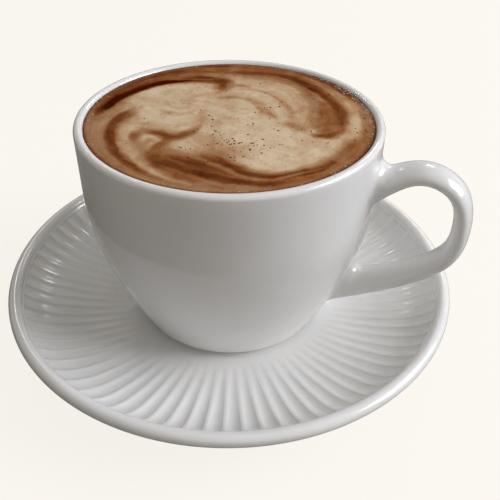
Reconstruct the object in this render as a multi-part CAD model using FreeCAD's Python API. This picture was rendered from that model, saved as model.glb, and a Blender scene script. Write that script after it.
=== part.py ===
"""A caffe mocha in a white porcelain cup, on its fluted saucer.

Millimetres, +Z up. The origin is the centre of the saucer's foot ring, in the plane it stands on,
and the cup's handle points along +X. Three solids rest in each other: saucer, cup and mocha.
"""

import FreeCAD
import Part
import math
import os

Vector = FreeCAD.Vector
UP = Vector(0, 0, 1)
CENTRE = Vector(0, 0, 0)

# Saucer
SAUCER_RADIUS = 75.0        # to the outside of the lip
SAUCER_HEIGHT = 21.0        # table to the top of the lip
SAUCER_WALL = 3.6           # thickness of the flange
SAUCER_FOOT_RADIUS = 41.0   # outside of the foot ring
SAUCER_FOOT_WIDTH = 3.4
SAUCER_FOOT_HEIGHT = 2.4    # foot ring below the underside of the well
LIP_RADIUS = 2.1            # bead round the edge
WELL_MARGIN = 3.5           # flat middle round the cup's foot
KNEE_RADIUS = 61.0          # where the gentle flange turns up to the lip
KNEE_RISE = 6.0             # height of that turn above the well
FLANGE_SAG = 1.1            # hollow of the gentle part below a straight line
RIM_SAG = 0.7               # hollow of the steep part below a straight line

# Flutes in the saucer's flange
FLUTE_COUNT = 80
FLUTE_DEPTH = 0.5           # at the knee
FLUTE_START_GAP = 1.5       # from the flat middle to where the flutes have faded out
FLUTE_WIDTH_SHARE = 0.9     # flute's share of the pitch, the rest is the ridge
FLUTE_OVERCUT = 0.08        # cutter's height over the surface
FLUTE_LIP_GAP = 0.5         # ledge left between the flutes and the lip

# Cup
CUP_HEIGHT = 70.0           # foot to rim
CUP_RIM_RADIUS = 46.0       # outside of the rim
CUP_BASE_RADIUS = 32.0      # lower edge of the bowl, above the foot
CUP_BELLY_HEIGHT = 50.0     # above it the wall is upright
CUP_FOOT_INSET = 2.0        # foot ring set in from the lower edge of the bowl
CUP_FOOT_WIDTH = 3.4
CUP_FOOT_HEIGHT = 1.5
CUP_RECESS_DEPTH = 2.4      # hollow under the cup, inside its foot ring
RIM_WALL = 2.8              # wall at the rim
RIM_ROUND_SHARE = 0.48      # each side of the rim is rounded by this share of its wall
BASE_ROUND = 0.5            # lower edge of the bowl
BASE_WALL = 3.6             # wall at the bottom of the bowl
CUP_FLOOR = 4.0             # thickness of the floor over the recess
FLOOR_ROUND = 9.0           # inside corner between wall and floor
WALL_STATIONS = 13          # points that carry the wall's curve

# Handle: an ear-shaped strap of oval section
HANDLE_REACH = 26.0         # wall to the outermost point of the centre line
HANDLE_WIDTH = 10.6         # across the strap
HANDLE_THICKNESS = 5.4
UPPER_ROOT_DROP = 17.2      # below the rim, where the centre line meets the wall
LOWER_ROOT_HEIGHT = 15.0    # above the cup's foot, where it comes back to the wall
HANDLE_TOP_DROP = 8.7       # the centre line's highest point, below the rim
ROOT_OVERLAP = 0.6          # the strap's ends start its thickness and this far inside the wall
ROOT_WIDTH_GROWTH = 1.3     # the strap spreads where it meets the wall
UPPER_ROOT_GROWTH = 1.9
LOWER_ROOT_GROWTH = 1.9
UPPER_ROOT_FADE = 0.3       # share of the strap's length over which a root's growth fades
LOWER_ROOT_FADE = 0.55
HANDLE_BLEND = 3.0          # fillet round both roots
STRAP_SECTIONS = 19

# Mocha
FREEBOARD = 0.8             # rim to the edge of the foam
FOAM_DOME = 0.6             # rise of the foam in the middle

WELL_HEIGHT = SAUCER_FOOT_HEIGHT + SAUCER_WALL
CUP_FOOT_RADIUS = CUP_BASE_RADIUS - CUP_FOOT_INSET
WELL_RADIUS = CUP_FOOT_RADIUS + WELL_MARGIN
FLUTE_START_RADIUS = WELL_RADIUS + FLUTE_START_GAP
UPPER_ROOT_HEIGHT = CUP_HEIGHT - UPPER_ROOT_DROP
HANDLE_TOP_HEIGHT = CUP_HEIGHT - HANDLE_TOP_DROP
ROOT_DEPTH = HANDLE_THICKNESS + ROOT_OVERLAP


def line(start, end):
    return Part.LineSegment(start, end).toShape()


def arc(start, through, end):
    return Part.Arc(start, through, end).toShape()


def spline(points):
    curve = Part.BSplineCurve()
    curve.interpolate(points)
    return curve.toShape()


def at(radius, height):
    """A point of an outline, in the XZ plane."""
    return Vector(radius, 0, height)


def bowed(start, end, sag):
    """An arc whose middle hangs below the straight line between its ends by sag."""
    chord = end - start
    below = Vector(chord.z, 0, -chord.x).normalize()
    if below.z > 0:
        below = below * -1
    return arc(start, (start + end) * 0.5 + below * sag, end)


def turned(edges):
    """Revolve a closed outline about the Z axis, with the seam on the side away from the handle."""
    solid = Part.Face(Part.Wire(edges)).revolve(CENTRE, UP, 360)
    solid.rotate(CENTRE, UP, 180)
    return solid


# ------------------------------------------------------------------ saucer

LIP_CENTRE = at(SAUCER_RADIUS - LIP_RADIUS, SAUCER_HEIGHT - LIP_RADIUS)
WELL_EDGE = at(WELL_RADIUS, WELL_HEIGHT)
KNEE = at(KNEE_RADIUS, WELL_HEIGHT + KNEE_RISE)
LIP_FOOT = LIP_CENTRE - at(LIP_RADIUS, 0)


def flange_arcs():
    """The flange's upper line from the well to the lip."""
    return bowed(WELL_EDGE, KNEE, FLANGE_SAG), bowed(KNEE, LIP_FOOT, RIM_SAG)


def flange_height(radius):
    """Height of the flange's upper line at a radius."""
    gentle, steep = flange_arcs()
    edge = gentle if radius < KNEE_RADIUS else steep
    probe = line(at(radius, -SAUCER_HEIGHT), at(radius, 3 * SAUCER_HEIGHT))
    return edge.distToShape(probe)[1][0][0].z


def saucer_body():
    under_knee = KNEE + at(0.3 * SAUCER_WALL, -SAUCER_WALL)
    lip_under = LIP_CENTRE + at(0.5 * LIP_RADIUS, -0.87 * LIP_RADIUS)
    lip_outside = LIP_CENTRE + at(0.8 * LIP_RADIUS, 0.6 * LIP_RADIUS)
    foot_top = at(SAUCER_FOOT_RADIUS + 0.5, SAUCER_FOOT_HEIGHT + 0.6)
    foot_out = at(SAUCER_FOOT_RADIUS, 0)
    foot_in = at(SAUCER_FOOT_RADIUS - SAUCER_FOOT_WIDTH, 0)
    recess = at(foot_in.x - 0.6, SAUCER_FOOT_HEIGHT)
    gentle, steep = flange_arcs()
    return turned([
        line(at(0, WELL_HEIGHT), WELL_EDGE),
        gentle,
        steep,
        arc(LIP_FOOT, lip_outside, lip_under),
        bowed(lip_under, under_knee, RIM_SAG),
        bowed(under_knee, foot_top, FLANGE_SAG),
        line(foot_top, foot_out),
        line(foot_out, foot_in),
        line(foot_in, recess),
        line(recess, at(0, SAUCER_FOOT_HEIGHT)),
        line(at(0, SAUCER_FOOT_HEIGHT), at(0, WELL_HEIGHT)),
    ])


def flute_section(radius):
    """Cross-section of one flute's cutter: a shallow arc closed by its chord."""
    pitch = 2 * math.pi * radius / FLUTE_COUNT
    half = 0.5 * FLUTE_WIDTH_SHARE * pitch
    growth = (radius - FLUTE_START_RADIUS) / (KNEE_RADIUS - FLUTE_START_RADIUS)
    surface = flange_height(radius)
    top = surface + FLUTE_OVERCUT
    bottom = surface - FLUTE_DEPTH * growth
    left = Vector(radius, -half, top)
    right = Vector(radius, half, top)
    return Part.Wire([arc(left, Vector(radius, 0, bottom), right), line(right, left)])


def flute_cutters():
    end = LIP_FOOT.x - FLUTE_LIP_GAP
    first = FLUTE_START_RADIUS - 1.0
    middle = [first + share * (KNEE_RADIUS - first) for share in (0, 0.33, 0.67, 0.93)]
    radii = middle + [KNEE_RADIUS + share * (end - KNEE_RADIUS) for share in (0.25, 0.6, 1)]
    cutter = Part.makeLoft([flute_section(radius) for radius in radii], True, False)
    cutters = []
    for index in range(FLUTE_COUNT):
        copy = cutter.copy()
        copy.rotate(CENTRE, UP, 360.0 * (index + 0.5) / FLUTE_COUNT)
        cutters.append(copy)
    return cutters


def saucer():
    return saucer_body().cut(flute_cutters())


# --------------------------------------------------------------------- cup

def wall_radius(height):
    """Outside of the bowl at a height above the cup's foot: a sine curve, then upright."""
    share = (height - CUP_FOOT_HEIGHT) / (CUP_BELLY_HEIGHT - CUP_FOOT_HEIGHT)
    swell = math.sin(0.5 * math.pi * min(1.0, share))
    return CUP_BASE_RADIUS + (CUP_RIM_RADIUS - CUP_BASE_RADIUS) * swell


def wall_thickness(height):
    share = min(1.0, height / CUP_BELLY_HEIGHT)
    return BASE_WALL + (RIM_WALL - BASE_WALL) * share


def wall_curve(bottom, top, inset):
    """The wall's curve between two heights, moved inwards by a share of its thickness."""
    points = []
    for index in range(WALL_STATIONS):
        height = bottom + (top - bottom) * index / (WALL_STATIONS - 1)
        radius = wall_radius(height) - inset * wall_thickness(height)
        points.append(at(radius, WELL_HEIGHT + height))
    return points


FLOOR_HEIGHT = CUP_RECESS_DEPTH + CUP_FLOOR
RIM_HEIGHT = WELL_HEIGHT + CUP_HEIGHT
INNER_RIM_RADIUS = CUP_RIM_RADIUS - RIM_WALL


def cup_shell():
    outside = wall_curve(CUP_FOOT_HEIGHT, CUP_HEIGHT, 0)
    foot_top = at(CUP_FOOT_RADIUS + 0.3, WELL_HEIGHT + CUP_FOOT_HEIGHT)
    foot_out = at(CUP_FOOT_RADIUS, WELL_HEIGHT)
    foot_in = at(CUP_FOOT_RADIUS - CUP_FOOT_WIDTH, WELL_HEIGHT)
    recess = at(foot_in.x - 0.6, WELL_HEIGHT + CUP_RECESS_DEPTH)
    axis_top = at(0, RIM_HEIGHT)
    axis_bottom = at(0, recess.z)
    solid = turned([
        line(axis_bottom, recess),
        line(recess, foot_in),
        line(foot_in, foot_out),
        line(foot_out, foot_top),
        line(foot_top, outside[0]),
        spline(outside),
        line(outside[-1], axis_top),
        line(axis_top, axis_bottom),
    ])
    hollow = solid.cut(cavity())
    rim = [ring(hollow, outside[-1]), ring(hollow, at(INNER_RIM_RADIUS, RIM_HEIGHT))]
    base = [ring(hollow, outside[0])]
    return hollow.makeFillet(RIM_ROUND_SHARE * RIM_WALL, rim).makeFillet(BASE_ROUND, base)


def bowl(bottom, level, inset):
    """The bowl filled from one height to another, its side set into the wall by a share."""
    side = wall_curve(bottom, level, inset)
    floor = at(0, side[0].z)
    top = at(0, side[-1].z)
    solid = turned([line(floor, side[0]), spline(side), line(side[-1], top), line(top, floor)])
    return solid, side[0]


def cavity():
    """The inside of the bowl, from its rounded floor to a little above the rim."""
    solid, corner = bowl(FLOOR_HEIGHT, CUP_HEIGHT + RIM_WALL, 1)
    return solid.makeFillet(FLOOR_ROUND, [ring(solid, corner)])


def ring(solid, point):
    """The circular edge that a point of an outline makes when it is turned."""
    for edge in solid.Edges:
        gaps = [abs(spot.z - point.z) + abs(math.hypot(spot.x, spot.y) - point.x)
                for spot in edge.discretize(5)]
        if max(gaps) < 0.02:
            return edge
    raise ValueError("no ring at radius %.2f, height %.2f" % (point.x, point.z))


def handle_line():
    """Centre line of the strap, from inside the upper wall round to inside the lower wall."""
    upper = wall_radius(UPPER_ROOT_HEIGHT)
    lower = wall_radius(LOWER_ROOT_HEIGHT)
    outermost = upper + HANDLE_REACH
    ear = HANDLE_TOP_HEIGHT - LOWER_ROOT_HEIGHT
    points = [
        at(upper - ROOT_DEPTH, UPPER_ROOT_HEIGHT - 0.5 * ROOT_DEPTH),
        at(upper + 0.18 * HANDLE_REACH, UPPER_ROOT_HEIGHT + 0.62 * (HANDLE_TOP_HEIGHT - UPPER_ROOT_HEIGHT)),
        at(upper + 0.48 * HANDLE_REACH, HANDLE_TOP_HEIGHT),
        at(upper + 0.86 * HANDLE_REACH, HANDLE_TOP_HEIGHT - 0.085 * ear),
        at(outermost, HANDLE_TOP_HEIGHT - 0.32 * ear),
        at(upper + 0.94 * HANDLE_REACH, HANDLE_TOP_HEIGHT - 0.545 * ear),
        at(upper + 0.6 * HANDLE_REACH, HANDLE_TOP_HEIGHT - 0.74 * ear),
        at(upper + 0.12 * HANDLE_REACH, HANDLE_TOP_HEIGHT - 0.895 * ear),
        at(lower - ROOT_DEPTH, LOWER_ROOT_HEIGHT - 0.5 * ROOT_DEPTH),
    ]
    raised = [point + UP * WELL_HEIGHT for point in points]
    curve = Part.BSplineCurve()
    curve.interpolate(raised)
    return curve


def strap_section(curve, share, width, thickness):
    """An oval across the strap at a share of its centre line."""
    parameter = curve.FirstParameter + share * (curve.LastParameter - curve.FirstParameter)
    place = curve.value(parameter)
    along = curve.tangent(parameter)[0]
    oval = Part.Ellipse(CENTRE, 0.5 * width, 0.5 * thickness)
    wire = Part.Wire([oval.toShape()])
    across = Vector(0, 1, 0)
    turn = FreeCAD.Rotation(across, along.cross(across), along, "XYZ")
    wire.Placement = FreeCAD.Placement(place, turn)
    return wire


def growth(share, upper_growth, lower_growth):
    """How much larger the strap's section is at a share of its length, for its two roots."""
    near_upper = max(0.0, 1 - share / UPPER_ROOT_FADE)
    near_lower = max(0.0, 1 - (1 - share) / LOWER_ROOT_FADE)
    return 1 + (upper_growth - 1) * near_upper ** 2 + (lower_growth - 1) * near_lower ** 2


def handle():
    curve = handle_line()
    sections = []
    for index in range(STRAP_SECTIONS):
        share = index / (STRAP_SECTIONS - 1)
        width = HANDLE_WIDTH * growth(share, ROOT_WIDTH_GROWTH, ROOT_WIDTH_GROWTH)
        thickness = HANDLE_THICKNESS * growth(share, UPPER_ROOT_GROWTH, LOWER_ROOT_GROWTH)
        sections.append(strap_section(curve, share, width, thickness))
    strap = Part.makeLoft(sections, True, False)
    core, _ = bowl(CUP_FOOT_HEIGHT, CUP_HEIGHT, 0.5)
    return strap.cut(core)


def root_edges(solid):
    """Edges where the strap meets the bowl: all their points lie on the outside of the wall."""
    found = []
    for edge in solid.Edges:
        points = edge.discretize(9)
        on_wall = True
        for point in points:
            height = point.z - WELL_HEIGHT
            gap = math.hypot(point.x, point.y) - wall_radius(height)
            if abs(gap) > 0.05 or abs(point.y) > HANDLE_WIDTH or point.x < 0:
                on_wall = False
        if on_wall and CUP_FOOT_HEIGHT < edge.BoundBox.ZMin - WELL_HEIGHT:
            found.append(edge)
    return found


def cup():
    joined = cup_shell().fuse(handle()).removeSplitter()
    return joined.makeFillet(HANDLE_BLEND, root_edges(joined))


# ------------------------------------------------------------------- mocha

def mocha():
    """The drink, filling the bowl to its foam, which domes a little."""
    level = RIM_HEIGHT - FREEBOARD
    edge = at(INNER_RIM_RADIUS, level)
    side = at(0.5 * INNER_RIM_RADIUS, level + 0.75 * FOAM_DOME)
    crown = at(0, level + FOAM_DOME)
    beyond = at(CUP_RIM_RADIUS, level)
    under = at(CUP_RIM_RADIUS, WELL_HEIGHT)
    below_foam = turned([
        arc(crown, side, edge),
        line(edge, beyond),
        line(beyond, under),
        line(under, at(0, WELL_HEIGHT)),
        line(at(0, WELL_HEIGHT), crown),
    ])
    return cavity().common(below_foam)


def main():
    os.makedirs("parts", exist_ok=True)
    solids = {"saucer": saucer(), "cup": cup(), "mocha": mocha()}
    for name, solid in solids.items():
        solid.exportStep("parts/" + name + ".step")
        print(name, solid.isValid(), len(solid.Solids), len(solid.Faces), round(solid.Volume))


main()
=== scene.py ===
import math
import random

import bpy
import numpy as np
from mathutils import Euler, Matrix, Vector, noise


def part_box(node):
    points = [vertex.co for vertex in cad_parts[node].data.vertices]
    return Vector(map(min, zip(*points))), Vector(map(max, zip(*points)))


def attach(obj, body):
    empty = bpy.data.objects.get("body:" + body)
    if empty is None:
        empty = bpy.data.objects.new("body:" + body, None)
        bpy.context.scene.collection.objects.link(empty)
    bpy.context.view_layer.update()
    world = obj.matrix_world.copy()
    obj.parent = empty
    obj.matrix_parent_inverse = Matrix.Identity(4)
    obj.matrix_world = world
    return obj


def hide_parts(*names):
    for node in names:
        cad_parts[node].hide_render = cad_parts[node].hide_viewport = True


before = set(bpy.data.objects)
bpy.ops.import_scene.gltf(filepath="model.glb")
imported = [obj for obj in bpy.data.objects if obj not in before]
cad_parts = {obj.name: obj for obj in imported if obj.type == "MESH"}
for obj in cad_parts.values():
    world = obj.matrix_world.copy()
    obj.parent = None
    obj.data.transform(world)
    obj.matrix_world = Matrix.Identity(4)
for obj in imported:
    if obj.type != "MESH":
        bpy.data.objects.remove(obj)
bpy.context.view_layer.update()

bl_info = {
    "name": "Caffe Mocha",
    "version": (1, 0, 0),
    "blender": (4, 5, 0),
    "location": "3D View > Sidebar > Caffe Mocha",
    "description": "Finishes a porcelain cup and saucer and pours the mocha into it",
    "category": "Add Mesh",
}

MILLIMETRE = 0.001
BODY = "root"
DRINK_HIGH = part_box("mocha")[1]
DRINK_RADIUS = DRINK_HIGH.x
CUP_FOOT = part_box("cup")[0].z
SAUCER_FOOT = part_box("saucer")[0].z

# sockets of the colour mix and shader mix nodes, which go by number
MIX_FIRST, MIX_SECOND, MIX_RESULT = 6, 7, 2
SHADER_FIRST, SHADER_SECOND = 1, 2

# Milk swirled through the crema. Each stroke is one pull of the jug or the pick:
# how milky it is (0 is bare coffee, 1 the palest foam), how soft its edge is, and where it runs,
# as (across, back, half width), all in shares of the drink's radius.
SWIRL = (
    # coffee ring round the edge
    (0.47, 0.6, ((0.96, -0.28, 0.11), (1.00, 0.00, 0.13), (0.93, 0.38, 0.11), (0.71, 0.71, 0.12),
                 (0.38, 0.93, 0.13), (0.00, 1.00, 0.15), (-0.35, 0.93, 0.15))),
    (0.46, 0.6, ((0.97, 0.30, 0.09), (1.00, 0.00, 0.12), (0.96, -0.28, 0.12), (0.80, -0.60, 0.11),
                 (0.50, -0.86, 0.10), (0.15, -0.97, 0.09), (-0.20, -0.97, 0.07), (-0.45, -0.88, 0.07))),
    (0.47, 0.5, ((0.00, -1.00, 0.06), (-0.20, -0.98, 0.07), (-0.50, -0.86, 0.10), (-0.75, -0.63, 0.16),
                 (-0.87, -0.40, 0.18), (-0.95, -0.15, 0.16), (-0.98, 0.10, 0.10))),
    # thin darker line at the very edge along the back and right: painted shadow of the cup's wall
    (0.20, 0.9, ((-0.10, 1.00, 0.03), (0.20, 0.98, 0.05), (0.50, 0.86, 0.06), (0.74, 0.66, 0.05),
                 (0.90, 0.42, 0.03))),
    # wide brown shoulder at the back left
    (0.34, 0.6, ((-0.96, -0.10, 0.09), (-0.95, 0.20, 0.13), (-0.82, 0.46, 0.17), (-0.60, 0.70, 0.19),
                 (-0.32, 0.80, 0.19), (0.00, 0.93, 0.10), (0.35, 0.90, 0.07))),
    (0.26, 0.9, ((-0.97, 0.05, 0.03), (-0.90, 0.34, 0.04), (-0.74, 0.58, 0.04), (-0.52, 0.74, 0.04))),
    (0.27, 1.0, ((-0.80, 0.56, 0.03), (-0.56, 0.80, 0.04), (-0.28, 0.94, 0.04))),
    (0.50, 1.0, ((-0.50, 0.62, 0.04), (-0.34, 0.66, 0.05), (-0.24, 0.76, 0.05), (-0.26, 0.90, 0.03))),
    # body of pale foam
    (0.80, 0.5, ((-0.62, 0.06, 0.20), (-0.45, 0.14, 0.24), (-0.20, 0.16, 0.22), (0.10, 0.08, 0.28),
                 (0.40, -0.05, 0.30), (0.60, -0.20, 0.28))),
    (0.88, 0.8, ((-0.60, 0.12, 0.10), (-0.50, 0.00, 0.14), (-0.38, -0.04, 0.14), (-0.32, 0.08, 0.12))),
    (0.86, 0.6, ((0.00, -0.05, 0.20), (0.20, -0.10, 0.26), (0.40, -0.30, 0.28), (0.62, -0.32, 0.22))),
    (0.70, 0.8, ((-0.10, -0.30, 0.12), (0.10, -0.42, 0.14), (0.34, -0.52, 0.10))),
    # top lobe
    (0.74, 0.5, ((-0.30, 0.66, 0.05), (-0.14, 0.67, 0.10), (0.04, 0.65, 0.13), (0.22, 0.58, 0.15),
                 (0.38, 0.44, 0.17), (0.50, 0.24, 0.17), (0.54, 0.02, 0.14))),
    # dark arc over the top lobe, down its right side, its inner edge drawn out into the foam
    (0.46, 1.0, ((-0.30, 0.72, 0.04), (-0.08, 0.77, 0.06), (0.14, 0.76, 0.07), (0.34, 0.66, 0.08),
                 (0.50, 0.50, 0.09), (0.62, 0.30, 0.11), (0.66, 0.10, 0.12), (0.64, -0.02, 0.08))),
    (0.42, 0.9, ((0.54, 0.50, 0.05), (0.66, 0.30, 0.09), (0.69, 0.12, 0.10), (0.66, -0.02, 0.08))),
    (0.25, 0.8, ((-0.34, 0.74, 0.03), (-0.12, 0.82, 0.05), (0.10, 0.84, 0.06), (0.30, 0.78, 0.06),
                 (0.47, 0.68, 0.06), (0.60, 0.54, 0.055), (0.69, 0.37, 0.045), (0.745, 0.20, 0.04),
                 (0.755, 0.06, 0.035), (0.71, -0.05, 0.03))),
    (0.18, 0.9, ((0.28, 0.74, 0.02), (0.46, 0.64, 0.03), (0.60, 0.48, 0.03), (0.69, 0.32, 0.02))),
    (0.39, 0.9, ((0.71, 0.16, 0.06), (0.69, 0.02, 0.07), (0.64, -0.05, 0.04), (0.58, -0.06, 0.02))),
    (0.26, 0.9, ((0.76, 0.03, 0.03), (0.71, -0.07, 0.03), (0.63, -0.09, 0.025), (0.57, -0.07, 0.015))),
    (0.40, 1.0, ((-0.02, 0.90, 0.02), (0.22, 0.87, 0.02), (0.46, 0.76, 0.02))),
    # pale crescent outside it
    (0.72, 0.8, ((0.78, 0.42, 0.02), (0.82, 0.26, 0.035), (0.84, 0.06, 0.045), (0.85, -0.12, 0.05),
                 (0.80, -0.30, 0.06), (0.72, -0.44, 0.05))),
    # dark arc at the left, ending in a hook
    (0.24, 1.0, ((-0.92, -0.32, 0.05), (-0.91, -0.10, 0.08), (-0.85, 0.14, 0.09), (-0.76, 0.32, 0.09),
                 (-0.62, 0.46, 0.08), (-0.44, 0.54, 0.07), (-0.26, 0.58, 0.06))),
    (0.03, 1.0, ((-0.89, -0.26, 0.03), (-0.88, -0.08, 0.045), (-0.84, 0.12, 0.045), (-0.76, 0.28, 0.04),
                 (-0.66, 0.40, 0.03), (-0.52, 0.49, 0.02), (-0.38, 0.53, 0.02))),
    (0.14, 0.9, ((-0.62, 0.50, 0.02), (-0.48, 0.575, 0.025), (-0.34, 0.60, 0.025), (-0.22, 0.58, 0.02))),
    (0.24, 0.9, ((-0.50, 0.50, 0.03), (-0.36, 0.53, 0.04), (-0.26, 0.53, 0.06), (-0.22, 0.46, 0.055),
                 (-0.22, 0.38, 0.04), (-0.25, 0.33, 0.02))),
    (0.16, 1.0, ((-0.36, 0.57, 0.03), (-0.26, 0.57, 0.04), (-0.20, 0.52, 0.03))),
    (0.52, 1.0, ((-0.20, 0.48, 0.03), (-0.12, 0.52, 0.03), (-0.02, 0.52, 0.02))),
    (0.82, 0.6, ((-0.72, -0.06, 0.05), (-0.68, 0.10, 0.08), (-0.58, 0.25, 0.09), (-0.46, 0.34, 0.08),
                 (-0.38, 0.36, 0.06), (-0.31, 0.30, 0.05))),
    # folds inside the foam
    (0.82, 0.9, ((-0.18, 0.37, 0.035), (-0.04, 0.41, 0.035), (0.12, 0.37, 0.04), (0.26, 0.27, 0.04),
                 (0.38, 0.12, 0.04))),
    # thin darker line between the lobes: painted shadow of the crease between them
    (0.66, 1.0, ((-0.16, 0.43, 0.03), (-0.04, 0.47, 0.022), (0.10, 0.45, 0.018), (0.24, 0.37, 0.018),
                 (0.36, 0.25, 0.02), (0.45, 0.10, 0.03), (0.50, -0.01, 0.04))),
    (0.64, 1.0, ((-0.26, 0.21, 0.015), (-0.12, 0.29, 0.02), (0.02, 0.30, 0.03), (0.14, 0.22, 0.05),
                 (0.24, 0.13, 0.06), (0.33, 0.05, 0.05))),
    (0.52, 1.0, ((0.20, 0.17, 0.015), (0.27, 0.11, 0.025), (0.33, 0.05, 0.02))),
    (0.54, 1.0, ((0.10, 0.21, 0.01), (0.15, 0.17, 0.02), (0.19, 0.13, 0.01))),
    (0.72, 1.0, ((-0.40, 0.10, 0.014), (-0.36, 0.22, 0.018), (-0.26, 0.28, 0.018), (-0.14, 0.27, 0.014))),
    (0.74, 1.0, ((-0.60, -0.02, 0.014), (-0.46, -0.10, 0.018), (-0.32, -0.08, 0.018),
                 (-0.24, 0.02, 0.014))),
    (0.76, 1.0, ((-0.50, 0.02, 0.012), (-0.42, -0.03, 0.014), (-0.34, 0.02, 0.014), (-0.36, 0.10, 0.012))),
    (0.64, 1.0, ((-0.22, 0.04, 0.03), (-0.17, -0.10, 0.04), (-0.14, -0.24, 0.05))),
    (0.58, 1.0, ((0.36, 0.06, 0.03), (0.48, -0.01, 0.04), (0.58, -0.06, 0.035))),
    # crescents at the lower left
    (0.62, 0.8, ((-0.74, 0.00, 0.04), (-0.78, -0.16, 0.05), (-0.78, -0.34, 0.04), (-0.71, -0.52, 0.04),
                 (-0.60, -0.68, 0.03))),
    (0.42, 0.9, ((-0.66, -0.06, 0.02), (-0.66, -0.20, 0.05), (-0.66, -0.34, 0.06), (-0.60, -0.48, 0.04))),
    (0.24, 0.8, ((-0.68, -0.12, 0.02), (-0.70, -0.24, 0.035), (-0.69, -0.38, 0.04), (-0.63, -0.54, 0.045),
                 (-0.52, -0.69, 0.045), (-0.37, -0.80, 0.04), (-0.18, -0.90, 0.03), (0.06, -0.95, 0.015))),
    (0.72, 0.7, ((-0.66, -0.26, 0.02), (-0.62, -0.36, 0.03), (-0.58, -0.46, 0.04), (-0.50, -0.61, 0.045),
                 (-0.36, -0.75, 0.04), (-0.18, -0.86, 0.035), (0.08, -0.93, 0.02))),
    (0.56, 0.9, ((-0.42, -0.48, 0.05), (-0.40, -0.60, 0.05), (-0.30, -0.72, 0.03))),
    (0.40, 1.0, ((-0.30, -0.66, 0.03), (-0.20, -0.78, 0.03), (-0.04, -0.86, 0.03), (0.20, -0.88, 0.03))),
    # great dark fold at the front, swept round to the right
    (0.36, 0.7, ((-0.34, -0.60, 0.05), (-0.22, -0.66, 0.09), (-0.10, -0.69, 0.11), (0.04, -0.70, 0.13),
                 (0.22, -0.74, 0.12), (0.42, -0.75, 0.09), (0.60, -0.67, 0.07), (0.74, -0.53, 0.06),
                 (0.84, -0.34, 0.05), (0.89, -0.14, 0.04), (0.89, 0.02, 0.02))),
    (0.23, 0.9, ((-0.32, -0.68, 0.03), (-0.20, -0.73, 0.06), (-0.06, -0.75, 0.07), (0.10, -0.78, 0.05),
                 (0.30, -0.80, 0.035), (0.50, -0.76, 0.03), (0.66, -0.65, 0.02))),
    (0.22, 0.9, ((-0.02, -0.58, 0.02), (0.12, -0.61, 0.035), (0.24, -0.67, 0.035), (0.38, -0.70, 0.03),
                 (0.54, -0.67, 0.03), (0.68, -0.56, 0.03), (0.79, -0.42, 0.025), (0.86, -0.24, 0.02))),
    (0.24, 1.0, ((-0.16, -0.66, 0.03), (0.00, -0.67, 0.025), (0.16, -0.71, 0.02))),
    (0.46, 1.0, ((-0.02, -0.64, 0.012), (0.16, -0.68, 0.014), (0.34, -0.74, 0.014), (0.52, -0.72, 0.012))),
    (0.44, 1.0, ((0.30, -0.765, 0.010), (0.48, -0.73, 0.012), (0.64, -0.62, 0.012), (0.78, -0.46, 0.010))),
    (0.55, 1.0, ((-0.02, -0.53, 0.04), (0.12, -0.54, 0.05), (0.22, -0.60, 0.03))),
    # hook and tail in front of the left lobe
    (0.78, 0.7, ((-0.54, -0.24, 0.05), (-0.42, -0.29, 0.05), (-0.29, -0.28, 0.05), (-0.21, -0.18, 0.04))),
    (0.34, 0.9, ((-0.52, -0.44, 0.03), (-0.46, -0.41, 0.04), (-0.36, -0.41, 0.045), (-0.26, -0.43, 0.06),
                 (-0.19, -0.38, 0.05), (-0.15, -0.29, 0.035), (-0.15, -0.20, 0.02))),
    (0.25, 1.0, ((-0.44, -0.40, 0.015), (-0.34, -0.41, 0.02), (-0.24, -0.43, 0.03), (-0.18, -0.38, 0.02))),
    (0.34, 0.9, ((-0.50, -0.40, 0.03), (-0.49, -0.50, 0.035), (-0.45, -0.60, 0.02))),
    (0.34, 0.9, ((-0.23, -0.42, 0.05), (-0.26, -0.52, 0.05), (-0.27, -0.62, 0.06), (-0.21, -0.70, 0.06))),
    (0.62, 1.0, ((-0.38, -0.48, 0.025), (-0.36, -0.58, 0.02))),
)
PLAIN_FOAM = 0.78                   # how milky the foam is where no stroke runs
# currents that pull the strokes aside: (how many to the radius, how far they pull)
CURRENTS = ((4.0, 0.018), (13.0, 0.008), (38.0, 0.003))
CURRENT_SEED = 1
END_FADE = 0.18                     # a stroke's ends fade out over this length,
SHORT_END_FADE = 0.45               # or this share of a short stroke
COVERED = 0.25                      # cover from which a stroke sets the grain of the foam
FEATHER_EDGE = 0.4                  # how far feathers reach over an edge, in half widths
FEATHER_END = 0.45                  # how much they break up a stroke's end
# noise along and across the strokes, in waves to the radius
FEATHER_WAVES = (2.2, 17)
COMB_WAVES = (2.0, 24)
COMBING, COMBING_IN_MILK = 0.14, 0.12  # strength of the combing, and what milk takes off it
CLOUD_WAVES, CLOUDING = 5, 0.09     # pale and dark clouds
CURDLE_WAVES, CURDLING = 13, 0.15   # dark curdled patches in the milk
# painted shade of the narrow gap where the foam meets the cup, as a darker line at the edge: start and
# width as shares of the radius, and milk it takes away
EDGE_SHADE_START, EDGE_SHADE_WIDTH, EDGE_SHADE_DEPTH = 0.972, 0.02, 0.6

FOAM_RINGS = 110                    # circles of points over the foam
TURN_STEPS = 700                    # points round each circle
FLAT_EDGE = 0.5 * MILLIMETRE        # from the last of these circles to the wall
# the foam turns down where it wets the wall: (inside the wall, below the edge) in millimetres
MENISCUS = ((0.36, 0.02), (0.18, 0.06), (0.04, 0.13))
RING_GAP = 4 * MILLIMETRE           # between the circles down the wall
RELIEF_FADE = 0.03                  # the relief dies away this near the wall, as a share of the radius

DOME_HEIGHT = 0.72                  # of a bubble, as a share of its radius
SPECK_SINK, EDGE_SINK = 0.35, 0.25  # how deep a bubble sits in the foam, as a share of its radius
SPECK_REACH = 0.95                  # specks stay this share of the radius from the middle
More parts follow.
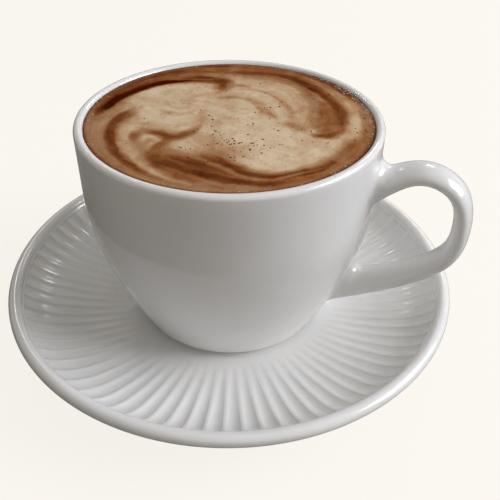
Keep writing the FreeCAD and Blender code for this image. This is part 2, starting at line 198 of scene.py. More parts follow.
# clusters of specks: (across, back, spread) in shares of the radius, and the share of the specks
CLUSTERS = ((0.12, -0.42, 0.07, 0.08), (0.27, -0.43, 0.09, 0.11), (0.02, -0.24, 0.05, 0.05),
            (-0.14, -0.53, 0.03, 0.03), (0.40, -0.08, 0.09, 0.05), (0.62, -0.05, 0.07, 0.05),
            (0.15, 0.17, 0.06, 0.03), (0.30, 0.28, 0.05, 0.02), (0.45, 0.38, 0.12, 0.06),
            (-0.08, -0.05, 0.07, 0.05), (0.90, 0.12, 0.08, 0.06), (0.20, -0.28, 0.24, 0.29),
            (0.00, 0.00, 0.50, 0.12))
EDGE_CLUSTER = (0.62, 0.34)         # where edge bubbles gather, and how widely, in radians
EDGE_CLUSTER_SHARE = 0.55           # of the edge bubbles; the rest lie all round
EDGE_SPREAD = 0.022                 # how far they stray from the wall, as a share of the radius
EDGE_GAP = 0.12 * MILLIMETRE

BARE_RING = 0.3 * MILLIMETRE        # height left unglazed on the ring a piece stands on
BARE_FADE = 0.5 * MILLIMETRE        # height over which the glaze sets in above it
BARE_ROUGHNESS = 0.55               # by which bare porcelain is rougher than the glaze
GLOSS_DRIFT = 0.04                  # by which the glaze's roughness varies either way

AIM = (0, 0, 0.04)
# name, property with its power, place, width, height, colour
LIGHTS = (
    ("window", "window_power", (1.30, 0.33, 0.84), 1.0, 0.8, "F6F8FF"),
    ("overhead", "sky_power", (0.20, -0.20, 1.90), 1.6, 1.6, "FFFFFF"),
    ("front", "front_power", (0.50, -1.50, 1.10), 1.4, 1.0, "FFFAF2"),
    ("pane_right", "pane_power", (0.15, 1.30, 0.90), 0.30, 0.24, "FFFFFF"),
    ("pane_left", "pane_power", (-0.85, 1.00, 1.05), 0.24, 0.24, "FFFFFF"),
)
FLOOR_RADIUS = 4.0
# the floor as seen is part lit paper, part even glow
FLOOR_GLOW, FLOOR_GLOW_SHARE = 1.38, 0.66
BACKDROP_GLOW = 0.94
REFLECTED_ROOM = 3.0                # what reflections add to the fill, in fills
CAMERA_PLACE = (0.0583, -0.1601, 0.1558)
CAMERA_TURN = (53.36, -0.87, 18.24)  # degrees
CAMERA_LENS, SENSOR_WIDTH = 44.4, 36.0
CAMERA_SHIFT = (-0.0042, -0.0192)
CAMERA_CLIP_START = 0.01


def linear(code):
    """Scene-linear RGBA of an sRGB hex colour."""
    channels = []
    for start in (0, 2, 4):
        value = int(code[start:start + 2], 16) / 255
        channels.append(value / 12.92 if value <= 0.04045 else ((value + 0.055) / 1.055) ** 2.4)
    return (*channels, 1.0)


def per_metre(millimetres):
    """Texture scale for a pattern of that size, on coordinates in metres."""
    return 1 / (millimetres * MILLIMETRE)


def add_node(tree, kind, inputs=(), **settings):
    """A node with its settings. Inputs are (socket, value or output socket) pairs."""
    node = tree.nodes.new(kind)
    for name, value in settings.items():
        setattr(node, name, value)
    for socket, value in dict(inputs).items():
        if isinstance(value, bpy.types.NodeSocket):
            tree.links.new(value, node.inputs[socket])
        else:
            node.inputs[socket].default_value = value
    return node


def new_material(name):
    material = bpy.data.materials.new(name)
    material.use_nodes = True
    material.node_tree.nodes.clear()
    return material, material.node_tree


def set_ramp(ramp, stops):
    """Fill a colour ramp with (place, colour) stops."""
    elements = ramp.color_ramp.elements
    while len(elements) < len(stops):
        elements.new(0.5)
    for element, (place, colour) in zip(elements, stops):
        element.position = place
        element.color = colour


def deselect_all():
    if bpy.context.object and bpy.context.object.mode != "OBJECT":
        bpy.ops.object.mode_set(mode="OBJECT")
    bpy.ops.object.select_all(action="DESELECT")


def make_active(piece):
    deselect_all()
    piece.select_set(True)
    bpy.context.view_layer.objects.active = piece


def set_material(piece, material):
    piece.data.materials.clear()
    piece.data.materials.append(material)


def finish_piece(piece, material):
    """Finish on, riding on the object."""
    set_material(piece, material)
    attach(piece, BODY)


def turned_piece(name, outline, steps):
    """A closed shape turned about the Z axis from an outline of (radius, height) points."""
    deselect_all()
    first = outline[0]
    bpy.ops.mesh.primitive_plane_add(size=MILLIMETRE, location=(first[0], 0, first[1]))
    piece = bpy.context.object
    piece.name = name
    bpy.ops.object.mode_set(mode="EDIT")
    bpy.ops.mesh.merge(type="CENTER")
    for here, there in zip(outline, outline[1:]):
        step = (there[0] - here[0], 0, there[1] - here[1])
        bpy.ops.mesh.extrude_region_move(TRANSFORM_OT_translate={"value": step})
    bpy.ops.mesh.select_all(action="SELECT")
    bpy.ops.mesh.spin(steps=steps, angle=2 * math.pi, center=(0, 0, 0), axis=(0, 0, 1))
    bpy.ops.mesh.select_all(action="SELECT")
    bpy.ops.mesh.remove_doubles(threshold=1e-6)
    bpy.ops.mesh.normals_make_consistent(inside=False)
    bpy.ops.object.mode_set(mode="OBJECT")
    make_active(piece)
    bpy.ops.object.transform_apply(location=True, rotation=True, scale=True)
    return piece


# ------------------------------------------------------------ porcelain

def glazed_porcelain(name, settings, foot):
    """White porcelain, cast and turned, dipped in clear glaze. The glaze gives sharp window-like
    reflections over a soft milky body; it pools a little, so its colour and shine drift over
    centimetres. The ring it stands on, from the foot up, is left bare, matt and slightly warmer."""
    material, tree = new_material(name)
    place = add_node(tree, "ShaderNodeTexCoord").outputs["Object"]
    drift = add_node(tree, "ShaderNodeTexNoise", (
        ("Vector", place), ("Scale", per_metre(38.0)), ("Detail", 3.0), ("Roughness", 0.55)))
    tint = add_node(tree, "ShaderNodeValToRGB", (("Fac", drift.outputs["Fac"]),))
    set_ramp(tint, ((0.30, settings.shade_colour), (0.70, settings.body_colour)))
    height = add_node(tree, "ShaderNodeSeparateXYZ", (("Vector", place),)).outputs["Z"]
    bare = add_node(tree, "ShaderNodeMapRange", (
        ("Value", height), ("From Min", foot + BARE_RING), ("From Max", foot + BARE_RING + BARE_FADE),
        ("To Min", 1.0), ("To Max", 0.0)), clamp=True).outputs["Result"]
    bisque = add_node(tree, "ShaderNodeMix", (
        ("Factor", bare), (MIX_FIRST, tint.outputs["Color"]), (MIX_SECOND, settings.bisque_colour)),
        data_type="RGBA")
    # the glaze runs a little thinner, and so less smooth, in places
    run = add_node(tree, "ShaderNodeTexNoise", (
        ("Vector", place), ("Scale", per_metre(9.0)), ("Detail", 2.0)))
    gloss = add_node(tree, "ShaderNodeMapRange", (
        ("Value", run.outputs["Fac"]), ("From Min", 0.3), ("From Max", 0.7),
        ("To Min", settings.roughness - GLOSS_DRIFT), ("To Max", settings.roughness + GLOSS_DRIFT)))
    matt = add_node(tree, "ShaderNodeMath", (
        (0, bare), (1, BARE_ROUGHNESS), (2, gloss.outputs["Result"])), operation="MULTIPLY_ADD")
    # the glaze's slow ripple, about 6 mm from crest to crest, and the body's slight unevenness
    ripple = add_node(tree, "ShaderNodeTexNoise", (
        ("Vector", place), ("Scale", per_metre(6.0)), ("Detail", 1.5)))
    swell = add_node(tree, "ShaderNodeTexNoise", (
        ("Vector", place), ("Scale", per_metre(22.0)), ("Detail", 1.0)))
    uneven = add_node(tree, "ShaderNodeMath", (
        (0, swell.outputs["Fac"]), (1, 2.5), (2, ripple.outputs["Fac"])), operation="MULTIPLY_ADD")
    bump = add_node(tree, "ShaderNodeBump", (
        ("Height", uneven.outputs["Value"]), ("Strength", settings.ripple),
        ("Distance", 0.08 * MILLIMETRE)))
    shader = add_node(tree, "ShaderNodeBsdfPrincipled", (
        ("Base Color", bisque.outputs[MIX_RESULT]), ("Roughness", matt.outputs["Value"]),
        ("Normal", bump.outputs["Normal"]), ("IOR", 1.5), ("Coat Weight", 0.5),
        ("Coat Roughness", 0.04), ("Coat IOR", 1.5), ("Subsurface Weight", settings.translucency),
        ("Subsurface Radius", (1.0, 0.95, 0.88)), ("Subsurface Scale", 2.5 * MILLIMETRE)))
    add_node(tree, "ShaderNodeOutputMaterial", (("Surface", shader.outputs["BSDF"]),))
    return material


class PorcelainSettings(bpy.types.PropertyGroup):
    body_colour: bpy.props.FloatVectorProperty(
        name="Body", description="Porcelain under the clear glaze", subtype="COLOR", size=4,
        min=0, max=1, default=linear("E6E5E3"))
    shade_colour: bpy.props.FloatVectorProperty(
        name="Shade", description="Porcelain where the glaze has pooled", subtype="COLOR", size=4,
        min=0, max=1, default=linear("DEDEDD"))
    bisque_colour: bpy.props.FloatVectorProperty(
        name="Bisque", description="Bare porcelain on the ring a piece stands on", subtype="COLOR",
        size=4, min=0, max=1, default=linear("D9D2C4"))
    roughness: bpy.props.FloatProperty(
        name="Roughness", description="Roughness of the glaze", subtype="FACTOR",
        min=0.04, max=0.6, default=0.14)
    ripple: bpy.props.FloatProperty(
        name="Ripple", description="Strength of the glaze's slow ripple", subtype="FACTOR",
        min=0, max=1, default=0.5)
    translucency: bpy.props.FloatProperty(
        name="Translucency", description="Light that spreads inside the body, softening small ridges",
        subtype="FACTOR", min=0, max=1, default=0.7)


class MOCHA_OT_glaze_saucer(bpy.types.Operator):
    """Glaze the fluted saucer"""
    bl_idname = "mocha.glaze_saucer"
    bl_label = "Glaze Saucer"

    def execute(self, context):
        settings = context.scene.mocha_porcelain
        material = glazed_porcelain("saucer_glazed_porcelain", settings, SAUCER_FOOT)
        set_material(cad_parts["saucer"], material)
        return {"FINISHED"}


class MOCHA_OT_glaze_cup(bpy.types.Operator):
    """Glaze the cup and its handle"""
    bl_idname = "mocha.glaze_cup"
    bl_label = "Glaze Cup"

    def execute(self, context):
        settings = context.scene.mocha_porcelain
        material = glazed_porcelain("cup_glazed_porcelain", settings, CUP_FOOT)
        set_material(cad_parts["cup"], material)
        return {"FINISHED"}


# ---------------------------------------------------------------- drink

def smooth_path(points, parts=6):
    """Points on a smooth curve through the given ones (Catmull-Rom)."""
    known = np.array([points[0], *points, points[-1]], float)
    found = []
    for index in range(1, len(known) - 2):
        before, start, end, after = known[index - 1:index + 3]
        for part in range(parts):
            t = part / parts
            found.append(0.5 * (2 * start + (end - before) * t
                                + (2 * before - 5 * start + 4 * end - after) * t ** 2
                                + (3 * start - before - 3 * end + after) * t ** 3))
    found.append(known[-2])
    return np.array(found)


def stroke_reach(spots, stroke_points):
    """Each spot's distance from a stroke in half widths, its place along and across the stroke, and
    how far it is from the stroke's nearer end (0 at the end, 1 once well inside)."""
    path = smooth_path(stroke_points)
    nearest = np.full(len(spots), np.inf)
    along = np.zeros(len(spots))
    across = np.zeros(len(spots))
    travelled = 0.0
    for start, end in zip(path, path[1:]):
        line = end[:2] - start[:2]
        length = math.hypot(*line)
        offset = spots - start[:2]
        share = np.clip(offset @ line / (length * length), 0, 1)
        gap = offset - share[:, None] * line
        distance = np.hypot(gap[:, 0], gap[:, 1])
        half_width = start[2] + share * (end[2] - start[2])
        reach = distance / half_width
        closer = reach < nearest
        side = np.sign(line[0] * offset[:, 1] - line[1] * offset[:, 0])
        nearest = np.where(closer, reach, nearest)
        along = np.where(closer, travelled + share * length, along)
        across = np.where(closer, side * distance, across)
        travelled += length
    fade = min(END_FADE, SHORT_END_FADE * travelled)
    inward = np.clip(np.minimum(along, travelled - along) / fade, 0, 1)
    return nearest, along, across, inward


def milkiness(spots):
    """Share of milk foam at each spot, with the fine combing that follows the strokes."""
    # noise_vector has a generator of its own, which the clock seeds otherwise
    noise.seed_set(CURRENT_SEED)
    drifted = spots.copy()
    for index, (x, y) in enumerate(spots):
        for count, pull in CURRENTS:
            push = noise.noise_vector(Vector((count * x, count * y, 1.7 * count)))
            drifted[index, 0] += pull * push.x
            drifted[index, 1] += pull * push.y
    milk = np.full(len(spots), PLAIN_FOAM)
    # the grain of the foam, round the cup until a stroke turns it its own way
    from_middle = np.hypot(spots[:, 0], spots[:, 1])
    along = np.arctan2(spots[:, 1], spots[:, 0])
    across = from_middle.copy()
    for tone, softness, points in SWIRL:
        run = np.array(points)
        margin = 0.04 + run[:, 2].max() * (1.5 + softness)
        low, high = run[:, :2].min(0) - margin, run[:, :2].max(0) + margin
        near = np.nonzero(np.all((drifted > low) & (drifted < high), 1))[0]
        reach, stroke_along, stroke_across, inward = stroke_reach(drifted[near], points)
        # the edges and above all the ends are drawn out into feathers along the stroke
        for spot in np.nonzero(reach < 1.5 + softness)[0]:
            feather = noise.fractal(Vector((
                FEATHER_WAVES[0] * stroke_along[spot], FEATHER_WAVES[1] * stroke_across[spot],
                9 * tone)), 0.7, 2.3, 3)
            reach[spot] += FEATHER_EDGE * feather
            inward[spot] += FEATHER_END * feather * (1 - inward[spot])
        fade = np.clip((reach - 1 + softness) / (2 * softness), 0, 1)
        cover = (1 - fade * fade * (3 - 2 * fade)) * np.clip(1.15 * inward, 0, 1) ** 0.8
        milk[near] += (tone - milk[near]) * cover
        inside = cover > COVERED
        along[near[inside]] = stroke_along[inside]
        across[near[inside]] = stroke_across[inside]
    for index, (x, y) in enumerate(spots):
        combed = noise.fractal(Vector((
            COMB_WAVES[0] * along[index], COMB_WAVES[1] * across[index], 0.4)), 0.8, 2.1, 4)
        cloud = noise.fractal(Vector((CLOUD_WAVES * x, CLOUD_WAVES * y, 3.3)), 0.8, 2.2, 5)
        curdle = max(0.0, noise.fractal(
            Vector((CURDLE_WAVES * x, CURDLE_WAVES * y, 8.2)), 0.6, 2.3, 4))
        milk[index] += ((COMBING - COMBING_IN_MILK * milk[index]) * combed
                        + CLOUDING * cloud - CURDLING * curdle * milk[index])
    # painted shade of the narrow gap where the foam touches the cup: a thin darker line there
    edge = np.clip((from_middle - EDGE_SHADE_START) / EDGE_SHADE_WIDTH, 0, 1)
    return np.clip(milk * (1 - EDGE_SHADE_DEPTH * edge), 0, 1)


def drink_outline():
    """Half outline of the drink: fine rings over the foam, down the bowl's inner wall, and its
    floor."""
    # the drink's radius at each level
    wall = {}
    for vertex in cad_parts["mocha"].data.vertices:
        level = round(vertex.co.z, 4)
        wall[level] = max(wall.get(level, 0), math.hypot(vertex.co.x, vertex.co.y))
    edge_level = max(level for level in wall if wall[level] > DRINK_RADIUS - 0.3 * MILLIMETRE)
    radius = wall[edge_level]
    side = sorted((level for level in wall if level < edge_level - 1 * MILLIMETRE), reverse=True)
    dome = DRINK_HIGH.z - edge_level
    outline = []
    for ring in range(FOAM_RINGS):
        share = ring / FOAM_RINGS
        outline.append((share * (radius - FLAT_EDGE), DRINK_HIGH.z - dome * share ** 2))
    for inside, below in MENISCUS:
        outline.append((radius - inside * MILLIMETRE, edge_level - below * MILLIMETRE))
    last = outline[-1]
    for level in side:
        if last[1] - level > RING_GAP or level == side[-1]:
            # a hair inside the drink's own box
            last = (wall[level] - 0.02 * MILLIMETRE, level + 0.01 * MILLIMETRE)
            outline.append(last)
    outline.append((0.5 * last[0], last[1]))
    outline.append((0.0, last[1]))
    return outline


def mocha_foam(settings):
    """Steamed milk stirred through espresso crema, poured and left to settle. Milk gives pale froth,
    crema a darker and slightly smoother brown; the froth is full of bubbles a few tenths of a
    millimetre wide, which speckle it."""
    material, tree = new_material("mocha_milk_foam")
    place = add_node(tree, "ShaderNodeTexCoord").outputs["Object"]
    milk = add_node(tree, "ShaderNodeAttribute", attribute_name="milk").outputs["Fac"]
    # clouds of froth about 5 mm wide, and froth grain of 0.7 mm
    cloud = add_node(tree, "ShaderNodeTexNoise", (
        ("Vector", place), ("Scale", per_metre(5.0)), ("Detail", 4.0), ("Roughness", 0.6)))
    grain = add_node(tree, "ShaderNodeTexNoise", (
        ("Vector", place), ("Scale", per_metre(0.7)), ("Detail", 3.0), ("Roughness", 0.6)))
    clouded = add_node(tree, "ShaderNodeMath", (
        (0, cloud.outputs["Fac"]), (1, 0.14), (2, milk)), operation="MULTIPLY_ADD")
    grained = add_node(tree, "ShaderNodeMath", (
        (0, grain.outputs["Fac"]), (1, 0.12), (2, clouded.outputs["Value"])),
        operation="MULTIPLY_ADD")
    # less the mean of both patterns
    level = add_node(tree, "ShaderNodeMath", (
        (0, grained.outputs["Value"]), (1, 0.13)), operation="SUBTRACT")
    tone = add_node(tree, "ShaderNodeValToRGB", (("Fac", level.outputs["Value"]),))
    set_ramp(tone, ((0.05, settings.coffee_colour), (0.24, settings.crema_colour),
                    (0.36, settings.fold_colour), (0.46, settings.veil_colour),
                    (0.57, settings.tan_colour), (0.67, settings.latte_colour),
                    (0.88, settings.milk_colour)))
    # open bubbles, at 0.9 mm coarser than the real ones so that they show; the colour darkened at their
    # middles is painted shade of the hollows
    cells = add_node(tree, "ShaderNodeTexVoronoi", (
        ("Vector", place), ("Scale", per_metre(0.9)), ("Randomness", 1.0)), feature="F1")
    pit = add_node(tree, "ShaderNodeMapRange", (
        ("Value", cells.outputs["Distance"]), ("From Min", 0.10), ("From Max", 0.26),
        ("To Min", 0.82), ("To Max", 1.0)), clamp=True)
    pit_shaded = add_node(tree, "ShaderNodeVectorMath", (
        (0, tone.outputs["Color"]), (1, pit.outputs["Result"])), operation="MULTIPLY")
    gloss = add_node(tree, "ShaderNodeMapRange", (
        ("Value", milk), ("From Min", 0.1), ("From Max", 0.8), ("To Min", 0.32), ("To Max", 0.55)))
    froth = add_node(tree, "ShaderNodeMath", (
        (0, pit.outputs["Result"]), (1, 1.2), (2, grain.outputs["Fac"])), operation="MULTIPLY_ADD")
    bump = add_node(tree, "ShaderNodeBump", (
        ("Height", froth.outputs["Value"]), ("Strength", 0.35), ("Distance", 0.1 * MILLIMETRE)))
    # the froth itself is matt; only the last 2 mm, wet against the cup, has a faint shine
    flat = add_node(tree, "ShaderNodeVectorMath", ((0, place), (1, (1, 1, 0))), operation="MULTIPLY")
    reach = add_node(tree, "ShaderNodeVectorMath", ((0, flat.outputs["Vector"]),), operation="LENGTH")
    wet = add_node(tree, "ShaderNodeMapRange", (
        ("Value", reach.outputs["Value"]), ("From Min", DRINK_RADIUS - 2.2 * MILLIMETRE),
        ("From Max", DRINK_RADIUS - 0.8 * MILLIMETRE), ("To Min", 0.0), ("To Max", 0.04)), clamp=True)
    shader = add_node(tree, "ShaderNodeBsdfPrincipled", (
        ("Base Color", pit_shaded.outputs["Vector"]), ("Roughness", gloss.outputs["Result"]),
        ("Normal", bump.outputs["Normal"]), ("IOR", 1.36),
        ("Specular IOR Level", wet.outputs["Result"])))
    add_node(tree, "ShaderNodeOutputMaterial", (("Surface", shader.outputs["BSDF"]),))
    return material


class DrinkSettings(bpy.types.PropertyGroup):
    coffee_colour: bpy.props.FloatVectorProperty(
        name="Coffee", description="Bare coffee between the folds", subtype="COLOR", size=4,
        min=0, max=1, default=linear("471404"))
    crema_colour: bpy.props.FloatVectorProperty(
        name="Crema", description="Dark crema in the folds", subtype="COLOR", size=4,
        min=0, max=1, default=linear("7E4926"))
    fold_colour: bpy.props.FloatVectorProperty(
        name="Fold", description="Crema at the edge of the folds", subtype="COLOR", size=4,
        min=0, max=1, default=linear("986239"))
    veil_colour: bpy.props.FloatVectorProperty(
        name="Veil", description="Thin greyer froth round the edge", subtype="COLOR", size=4,
        min=0, max=1, default=linear("A07957"))
    tan_colour: bpy.props.FloatVectorProperty(
        name="Tan", description="Crema thinned with milk", subtype="COLOR", size=4,
        min=0, max=1, default=linear("B28760"))
    latte_colour: bpy.props.FloatVectorProperty(
        name="Latte", description="Milk foam tinted by the coffee", subtype="COLOR", size=4,
        min=0, max=1, default=linear("C39F7A"))
    milk_colour: bpy.props.FloatVectorProperty(
        name="Milk", description="Palest milk foam", subtype="COLOR", size=4,
        min=0, max=1, default=linear("DDC8A8"))
    fold_height: bpy.props.FloatProperty(
        name="Fold Height", description="Rise of the milk foam over the coffee", unit="LENGTH",
        min=0, max=0.001, default=0.12 * MILLIMETRE)
    froth_height: bpy.props.FloatProperty(
        name="Froth Height", description="Unevenness of the froth", unit="LENGTH",
        min=0, max=0.001, default=0.10 * MILLIMETRE)


class MOCHA_OT_pour_drink(bpy.types.Operator):
    """Pour the mocha, swirl the milk through it and let the foam set"""
    bl_idname = "mocha.pour_drink"
    bl_label = "Pour Drink"

    def execute(self, context):
        settings = context.scene.mocha_drink
        outline = drink_outline()
        foam_edge = outline[FOAM_RINGS + len(MENISCUS) - 1][1]
        drink = turned_piece("mocha_drink", outline, TURN_STEPS)
        mesh = drink.data
        places = np.empty(3 * len(mesh.vertices), np.float32)
        mesh.vertices.foreach_get("co", places)
        places = places.reshape(-1, 3).astype(float)
        spots = places[:, :2] / DRINK_RADIUS
        milk = milkiness(spots)
        layer = mesh.attributes.new("milk", "FLOAT", "POINT")
        layer.data.foreach_set("value", milk.astype(np.float32))
        # relief on the foam only, and none against the wall
        top = places[:, 2] > foam_edge - 0.01 * MILLIMETRE
        rim_fade = np.clip((1 - np.hypot(spots[:, 0], spots[:, 1])) / RELIEF_FADE, 0, 1)
        raised = drink.vertex_groups.new(name="fold_rise")
        frothy = drink.vertex_groups.new(name="froth_rise")
        for index in np.nonzero(top & (rim_fade > 0))[0]:
            fade = float(rim_fade[index])
            raised.add([int(index)], fade * (float(milk[index]) - 1), "REPLACE")
            frothy.add([int(index)], fade, "REPLACE")
        make_active(drink)
        froth = bpy.data.textures.new("froth", "CLOUDS")
        froth.noise_scale = 2.2 * MILLIMETRE
        froth.noise_depth = 2
        for name, group, texture, strength in (
                ("Folds", "fold_rise", None, settings.fold_height),
                ("Froth", "froth_rise", froth, -settings.froth_height)):
            lift = drink.modifiers.new(name, "DISPLACE")
            lift.direction = "Z"
            lift.mid_level = 0
            lift.vertex_group = group
            lift.strength = strength
            if texture:
                lift.texture = texture
                lift.texture_coords = "LOCAL"
            bpy.ops.object.modifier_apply(modifier=lift.name)
        bpy.ops.object.shade_smooth()
        finish_piece(drink, mocha_foam(settings))
        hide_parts("mocha")
        return {"FINISHED"}


# -------------------------------------------------------------- bubbles

def scatter_bubbles(name, spots, drink, sink, material):
    """One small dome copied to each (across, back, radius) spot on the foam, joined as one piece."""
    deselect_all()
    bpy.ops.mesh.primitive_uv_sphere_add(segments=8, ring_count=5, radius=1.0)
    dome = bpy.context.object
    bpy.ops.object.mode_set(mode="EDIT")
    bpy.ops.mesh.select_all(action="SELECT")
    bpy.ops.transform.resize(value=(1, 1, DOME_HEIGHT))
    bpy.ops.object.mode_set(mode="OBJECT")
    bpy.ops.object.shade_smooth()
    copies = []
    for across, back, size in spots:
        found, place, _, _ = drink.ray_cast(Vector((across, back, 1.0)), Vector((0, 0, -1)))
        if not found:
            raise RuntimeError("a bubble lies off the foam")
        copy = dome.copy()
        copy.data = dome.data.copy()
        copy.location = place - Vector((0, 0, sink * size))
        copy.scale = (size, size, size)
        bpy.context.collection.objects.link(copy)
        copies.append(copy)
    bpy.data.objects.remove(dome)
    deselect_all()
    for copy in copies:
        copy.select_set(True)
    bpy.context.view_layer.objects.active = copies[0]
    bpy.ops.object.transform_apply(location=True, rotation=True, scale=True)
    bpy.ops.object.join()
    piece = bpy.context.object
    piece.name = name
    finish_piece(piece, material)


def bubble_film(name, colour, roughness, sheen):
    """A bubble's thin skin of milky coffee. Whole bubbles are wet, so they are the glossiest thing on
    the foam and glint; open ones have no sheen, and their dark colour is painted shade of the hollow under
    them."""
    material, tree = new_material(name)
    place = add_node(tree, "ShaderNodeTexCoord").outputs["Object"]
    # the shade drifts over 2 mm, coarser than a bubble, so that each has one of its own
    cells = add_node(tree, "ShaderNodeTexNoise", (("Vector", place), ("Scale", per_metre(2.0))))
    shade = add_node(tree, "ShaderNodeValToRGB", (("Fac", cells.outputs["Fac"]),))
    deep = tuple(0.45 * channel for channel in colour[:3]) + (1.0,)
    set_ramp(shade, ((0.40, deep), (0.60, colour)))
    shader = add_node(tree, "ShaderNodeBsdfPrincipled", (
        ("Base Color", shade.outputs["Color"]), ("Roughness", roughness), ("IOR", 1.34),
        ("Specular IOR Level", sheen)))
    add_node(tree, "ShaderNodeOutputMaterial", (("Surface", shader.outputs["BSDF"]),))
    return material


class BubbleSettings(bpy.types.PropertyGroup):
    speck_count: bpy.props.IntProperty(
        name="Specks", description="Open bubbles scattered over the foam",
        min=1, max=1500, default=460)
    edge_count: bpy.props.IntProperty(
        name="Edge Bubbles", description="Bubbles gathered against the wall",
        min=1, max=1500, default=340)
    # the specks' dark colour is painted shade of each open bubble's hollow
    speck_shade_colour: bpy.props.FloatVectorProperty(
        name="Speck", description="Dark hollow of an open bubble", subtype="COLOR", size=4,
        min=0, max=1, default=linear("7E4C2A"))
    edge_colour: bpy.props.FloatVectorProperty(
        name="Edge", description="Skin of the bubbles against the wall", subtype="COLOR", size=4,
        min=0, max=1, default=linear("A98763"))


class MOCHA_OT_speckle_foam(bpy.types.Operator):
    """Scatter open bubbles over the foam, most of them in the middle"""
    bl_idname = "mocha.speckle_foam"
    bl_label = "Speckle Foam"

    def execute(self, context):
        settings = context.scene.mocha_bubbles
        drink = bpy.data.objects["mocha_drink"]
        draw = random.Random(11)
        spots = []
        while len(spots) < settings.speck_count:
            pick = draw.random()
            for across, back, spread, share in CLUSTERS:
                pick -= share
                if pick <= 0:
                    break
            x = draw.gauss(across, spread)
            y = draw.gauss(back, spread)
            size = (0.08 + 0.38 * draw.random() ** 3.5) * MILLIMETRE
            if math.hypot(x, y) < SPECK_REACH:
                spots.append((x * DRINK_RADIUS, y * DRINK_RADIUS, size))
        # the specks' colour is painted shade of each open bubble's hollow
        material = bubble_film("open_foam_bubbles", settings.speck_shade_colour, 0.35, 0.02)
        scatter_bubbles("foam_specks", spots, drink, SPECK_SINK, material)
        return {"FINISHED"}


class MOCHA_OT_edge_bubbles(bpy.types.Operator):
    """Gather small bubbles where the foam meets the cup, most of them on one side"""
    bl_idname = "mocha.edge_bubbles"
    bl_label = "Edge Bubbles"

    def execute(self, context):
        settings = context.scene.mocha_bubbles
        drink = bpy.data.objects["mocha_drink"]
        draw = random.Random(5)
        spots = []
        while len(spots) < settings.edge_count:
            if draw.random() < EDGE_CLUSTER_SHARE:
                turn = draw.gauss(*EDGE_CLUSTER)
            else:
                turn = draw.uniform(-math.pi, math.pi)
            size = (0.14 + 0.36 * draw.random() ** 3) * MILLIMETRE
            stray = abs(draw.gauss(0, EDGE_SPREAD))
            reach = DRINK_RADIUS * (1 - stray) - size - EDGE_GAP
            spots.append((reach * math.cos(turn), reach * math.sin(turn), size))
        material = bubble_film("edge_foam_bubbles", settings.edge_colour, 0.12, 0.8)
        scatter_bubbles("edge_bubbles", spots, drink, EDGE_SINK, material)
        return {"FINISHED"}


# ---------------------------------------------------------------- stage

class StageSettings(bpy.types.PropertyGroup):
    paper_colour: bpy.props.FloatVectorProperty(
        name="Paper", description="Floor and backdrop", subtype="COLOR", size=4,
        min=0, max=1, default=linear("FBF8F1"))
    window_power: bpy.props.FloatProperty(
        name="Window", description="Power of the large soft light on the handle's side",
        unit="POWER", min=0, max=200, default=26.0)
    sky_power: bpy.props.FloatProperty(
        name="Overhead", description="Power of the wide overhead light", unit="POWER",
        min=0, max=200, default=3.4)
    front_power: bpy.props.FloatProperty(
        name="Front", description="Power of the weak wide light in front", unit="POWER",
        min=0, max=200, default=3.4)
    pane_power: bpy.props.FloatProperty(
        name="Panes", description="Power of each of the two small lights behind, for glints",
        unit="POWER", min=0, max=200, default=1.2)
    fill: bpy.props.FloatProperty(
        name="Fill", description="Strength of the even light from all round",
        min=0, max=2, default=0.17)
    bounce_colour: bpy.props.FloatVectorProperty(
        name="Bounce", description="Light the floor throws back up", subtype="COLOR", size=4,
        min=0, max=1, default=linear("979189"))


def backdrop_paper(colour, bounce):
    """Matt paper. It shows almost evenly pale to the eye and still takes the soft shadow of what
    stands on it, but throws little light back up, so the shaded side stays dark and a little warm."""
    material, tree = new_material("backdrop_paper")
    place = add_node(tree, "ShaderNodeTexCoord").outputs["Object"]
    # paper fibre, at 3 mm coarser than real fibre so that it is just there
    fibre = add_node(tree, "ShaderNodeTexNoise", (("Vector", place), ("Scale", per_metre(3.0))))
    bump = add_node(tree, "ShaderNodeBump", (
        ("Height", fibre.outputs["Fac"]), ("Strength", 0.05), ("Distance", 0.05 * MILLIMETRE)))
    matt = add_node(tree, "ShaderNodeBsdfDiffuse", (
        ("Color", bounce), ("Normal", bump.outputs["Normal"])))
    glow = add_node(tree, "ShaderNodeEmission", (("Color", colour), ("Strength", FLOOR_GLOW)))
    seen = add_node(tree, "ShaderNodeLightPath").outputs["Is Camera Ray"]
    share = add_node(tree, "ShaderNodeMath", ((0, seen), (1, FLOOR_GLOW_SHARE)), operation="MULTIPLY")
    mixed = add_node(tree, "ShaderNodeMixShader", (
        ("Fac", share.outputs["Value"]), (SHADER_FIRST, matt.outputs["BSDF"]),
        (SHADER_SECOND, glow.outputs["Emission"])))
    add_node(tree, "ShaderNodeOutputMaterial", (("Surface", mixed.outputs["Shader"]),))
    return material


def soft_light(name, place, width, height, power, colour):
    """A rectangular lamp that faces the cup."""
    data = bpy.data.lights.new(name, "AREA")
    data.shape = "RECTANGLE"
    data.size = width
    data.size_y = height
    data.energy = power
    data.color = linear(colour)[:3]
    light = bpy.data.objects.new(name, data)
    light.location = place
    light.rotation_euler = (Vector(AIM) - Vector(place)).to_track_quat("-Z", "Y").to_euler()
    bpy.context.scene.collection.objects.link(light)


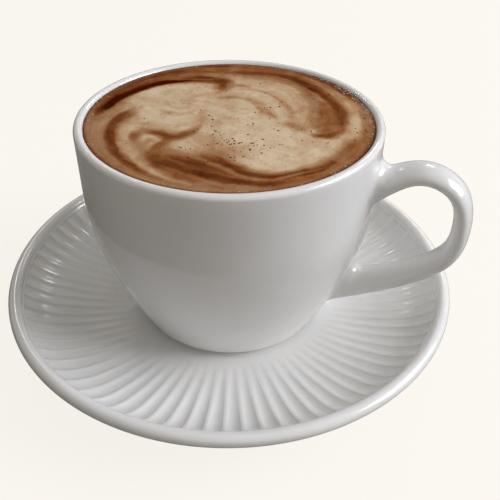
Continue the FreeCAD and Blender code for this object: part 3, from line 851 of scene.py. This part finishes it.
class MOCHA_OT_set_stage(bpy.types.Operator):
    """Lay the paper floor, hang the soft lights and set the camera"""
    bl_idname = "mocha.set_stage"
    bl_label = "Set Stage"

    def execute(self, context):
        settings = context.scene.mocha_stage
        deselect_all()
        bpy.ops.mesh.primitive_circle_add(vertices=96, radius=FLOOR_RADIUS, fill_type="NGON")
        floor = context.object
        floor.name = "paper_floor"
        set_material(floor, backdrop_paper(settings.paper_colour, settings.bounce_colour))

        for name, power, place, width, height, colour in LIGHTS:
            soft_light(name, place, width, height, getattr(settings, power), colour)

        world = bpy.data.worlds.new("studio")
        context.scene.world = world
        world.use_nodes = True
        tree = world.node_tree
        tree.nodes.clear()
        path = add_node(tree, "ShaderNodeLightPath").outputs
        # reflections see a brighter room than the fill, as near a window
        bright = add_node(tree, "ShaderNodeMath", (
            (0, path["Is Glossy Ray"]), (1, REFLECTED_ROOM * settings.fill), (2, settings.fill)),
            operation="MULTIPLY_ADD")
        even = add_node(tree, "ShaderNodeBackground", (
            ("Color", linear("FFF9F0")), ("Strength", bright.outputs["Value"])))
        paper = add_node(tree, "ShaderNodeBackground", (
            ("Color", settings.paper_colour), ("Strength", BACKDROP_GLOW)))
        mixed = add_node(tree, "ShaderNodeMixShader", (
            ("Fac", path["Is Camera Ray"]), (SHADER_FIRST, even.outputs["Background"]),
            (SHADER_SECOND, paper.outputs["Background"])))
        add_node(tree, "ShaderNodeOutputWorld", (("Surface", mixed.outputs["Shader"]),))

        lens = bpy.data.cameras.new("camera")
        lens.sensor_width = SENSOR_WIDTH
        lens.lens = CAMERA_LENS
        lens.shift_x, lens.shift_y = CAMERA_SHIFT
        lens.clip_start = CAMERA_CLIP_START
        camera = bpy.data.objects.new("camera", lens)
        camera.location = CAMERA_PLACE
        camera.rotation_euler = Euler([math.radians(angle) for angle in CAMERA_TURN])
        context.scene.collection.objects.link(camera)
        context.scene.camera = camera
        context.scene.view_settings.view_transform = "Standard"
        return {"FINISHED"}


class MOCHA_PT_panel(bpy.types.Panel):
    bl_label = "Caffe Mocha"
    bl_idname = "MOCHA_PT_panel"
    bl_space_type = "VIEW_3D"
    bl_region_type = "UI"
    bl_category = "Caffe Mocha"

    def draw(self, context):
        groups = (
            ("Porcelain", context.scene.mocha_porcelain,
             (MOCHA_OT_glaze_saucer, MOCHA_OT_glaze_cup)),
            ("Drink", context.scene.mocha_drink, (MOCHA_OT_pour_drink,)),
            ("Bubbles", context.scene.mocha_bubbles,
             (MOCHA_OT_speckle_foam, MOCHA_OT_edge_bubbles)),
            ("Stage", context.scene.mocha_stage, (MOCHA_OT_set_stage,)),
        )
        for title, settings, operators in groups:
            box = self.layout.box()
            box.label(text=title)
            for name in settings.__annotations__:
                box.prop(settings, name)
            for operator in operators:
                box.operator(operator.bl_idname)


SETTINGS = {
    "mocha_porcelain": PorcelainSettings,
    "mocha_drink": DrinkSettings,
    "mocha_bubbles": BubbleSettings,
    "mocha_stage": StageSettings,
}
CLASSES = (
    *SETTINGS.values(),
    MOCHA_OT_glaze_saucer,
    MOCHA_OT_glaze_cup,
    MOCHA_OT_pour_drink,
    MOCHA_OT_speckle_foam,
    MOCHA_OT_edge_bubbles,
    MOCHA_OT_set_stage,
    MOCHA_PT_panel,
)


def register():
    for cls in CLASSES:
        bpy.utils.register_class(cls)
    for name, settings in SETTINGS.items():
        setattr(bpy.types.Scene, name, bpy.props.PointerProperty(type=settings))


def unregister():
    for name in SETTINGS:
        delattr(bpy.types.Scene, name)
    for cls in reversed(CLASSES):
        bpy.utils.unregister_class(cls)


def main():
    register()
    bpy.ops.mocha.glaze_saucer()
    bpy.ops.mocha.glaze_cup()
    bpy.ops.mocha.pour_drink()
    bpy.ops.mocha.speckle_foam()
    bpy.ops.mocha.edge_bubbles()
    bpy.ops.mocha.set_stage()


if __name__ == "__main__":
    main()
